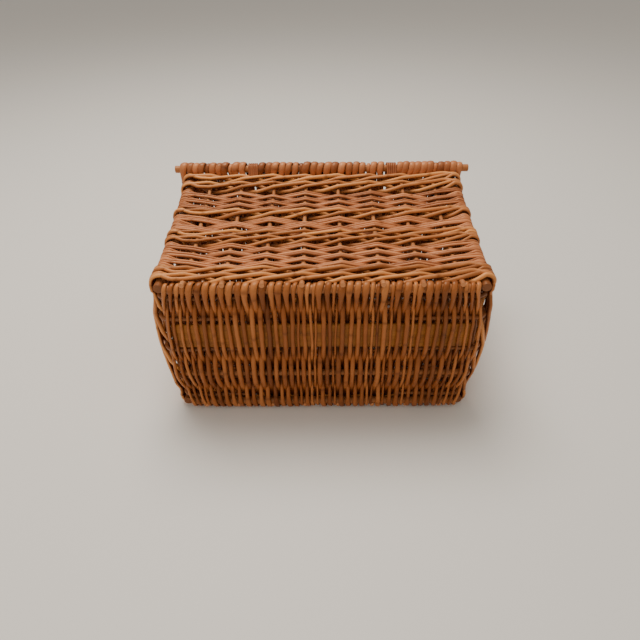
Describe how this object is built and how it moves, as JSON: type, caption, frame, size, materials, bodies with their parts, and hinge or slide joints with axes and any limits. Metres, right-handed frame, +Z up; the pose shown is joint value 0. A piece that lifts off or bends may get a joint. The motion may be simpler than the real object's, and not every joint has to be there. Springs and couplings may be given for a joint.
{
  "type": "wicker storage trunk",
  "caption": "Rectangular woven willow trunk with flared walls of banded weave, a flat framed base and a flat framed lid on wound hinge loops, lying on its front wall.",
  "frame": {"origin": "on the floor under the middle of the trunk's bounding box, as it lies on its front wall", "axes": "+X along the trunk's length, -Y out of its woven base, +Y towards its lid, +Z up from the front wall that it lies on to the back wall that carries the hinge; turned a quarter turn about X it stands on its base"},
  "size_m": [0.489, 0.3196, 0.2591],
  "materials": {
    "golden_willow": "varnished golden brown willow rods, satin gloss",
    "wall_willow": "varnished mid brown willow rods, satin gloss",
    "rod_willow": "varnished red brown willow rods, satin gloss",
    "stick_willow": "varnished brown willow sticks with pale cut ends",
    "split_slat": "planed yellow brown wood, worn varnish",
    "hinge_binding": "fine dark red brown split willow, close wound"
  },
  "bodies": {
    "trunk": {"base_front_stick": "stick_willow", "base_back_stick": "stick_willow", "base_slat": "split_slat", "base_middle_stick": "stick_willow", "base_weave": "rod_willow", "front_left_post": "stick_willow", "front_right_post": "stick_willow", "back_left_post": "stick_willow", "back_right_post": "stick_willow", "front_stakes": "stick_willow", "back_stakes": "stick_willow", "left_end_stakes": "stick_willow", "right_end_stakes": "stick_willow", "bottom_wale": "golden_willow", "lower_randing": "wall_willow", "lower_band_wale": "golden_willow", "middle_randing": "wall_willow", "upper_band_wale": "golden_willow", "upper_randing": "wall_willow", "top_wale": "golden_willow", "rim_border": "golden_willow", "left_hinge_loop": "hinge_binding", "right_hinge_loop": "hinge_binding"},
    "lid": {"lid_back_stick": "stick_willow", "lid_front_stick": "stick_willow", "lid_slat": "split_slat", "lid_middle_stick": "stick_willow", "lid_weave": "wall_willow"}
  },
  "joints": [
    {"name": "lid_hinge", "type": "hinge", "parent": "trunk", "child": "lid", "pos_m": [0, 0.1502, 0.2495], "axis": [1, 0, 0], "range_deg": [0, 215]}
  ]
}
